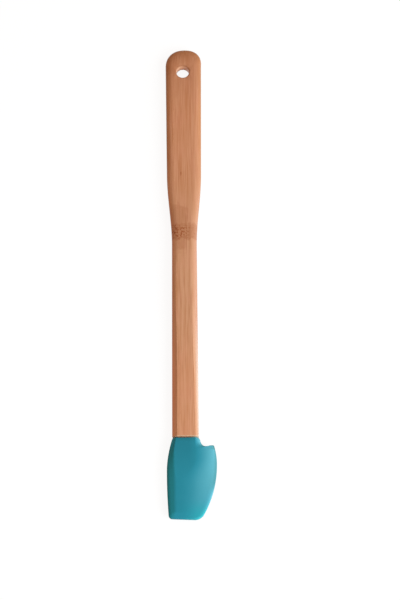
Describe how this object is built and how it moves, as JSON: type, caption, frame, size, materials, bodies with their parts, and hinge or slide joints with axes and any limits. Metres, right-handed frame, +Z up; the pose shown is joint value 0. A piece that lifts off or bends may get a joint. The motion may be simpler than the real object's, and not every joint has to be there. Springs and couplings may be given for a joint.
{
  "type": "offset spatula",
  "caption": "Jar-scraping spatula with a tapered silicone blade set off to one side of a flat bamboo handle, a rim notch under its hook and a hanging hole in the grip.",
  "frame": {"origin": "middle of the footprint, on the surface that the tool lies on with its back face down", "axes": "+Y from the blade's bottom edge to the hanging end, +Z up out of the front face, +X towards the side that the blade is offset to"},
  "size_m": [0.0292, 0.305, 0.006],
  "materials": {
    "bamboo": "planed and sanded bamboo, carbonised brown, satin",
    "silicone": "moulded teal silicone, satin matte"
  },
  "bodies": {
    "handle": {"bamboo_handle": "bamboo"},
    "head": {"silicone_head": "silicone"}
  },
  "joints": [
    {"name": "head_pull", "type": "slide", "parent": "handle", "child": "head", "axis": [0, -1, 0], "range_m": [0, 0.032]}
  ]
}
